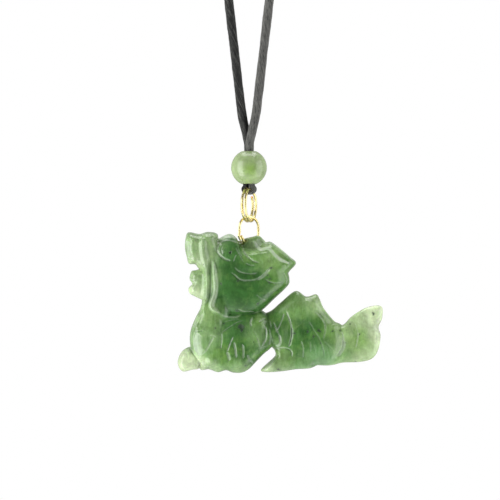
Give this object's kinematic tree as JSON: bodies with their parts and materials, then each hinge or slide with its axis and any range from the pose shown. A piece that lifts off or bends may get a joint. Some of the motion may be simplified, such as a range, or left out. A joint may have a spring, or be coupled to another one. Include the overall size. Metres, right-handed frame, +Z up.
{
  "type": "carved pendant necklace",
  "caption": "Carved green jade dragon hanging by an oval ring and a split ring below a round jade bead on a black cord loop.",
  "frame": {"origin": "underside of the sleeve at the middle of the cord loop's top, where the necklace hangs", "axes": "+Z up, +X to the right as seen from the front, +Y away from the viewer; the carving faces -X and lies in the XZ plane"},
  "size_m": [0.0525, 0.01, 0.25],
  "materials": {
    "cord": "waxed, twisted",
    "closure": "gloss",
    "bead_jade": "polished",
    "gold_plate": "polished gold plate",
    "carved_jade": "polished"
  },
  "bodies": {
    "holder": {"cord": "cord", "closure": "closure", "bead": "bead_jade"},
    "coil": {"split_ring": "gold_plate"},
    "link": {"jump_ring": "gold_plate"},
    "pendant": {"dragon": "carved_jade"}
  },
  "joints": [
    {"name": "coil_rock", "type": "hinge", "parent": "holder", "child": "coil", "pos_m": [0, 0, -0.2063], "axis": [0.9455, -0.3256, 0], "range_deg": [-15, 15]},
    {"name": "link_swing", "type": "hinge", "parent": "coil", "child": "link", "pos_m": [0, 0, -0.21273], "axis": [0.3256, 0.9455, 0], "range_deg": [-75, 60]},
    {"name": "pendant_swing", "type": "hinge", "parent": "link", "child": "pendant", "pos_m": [0, 0, -0.21766], "axis": [0.8572, 0.515, 0], "range_deg": [-30, 30]}
  ]
}
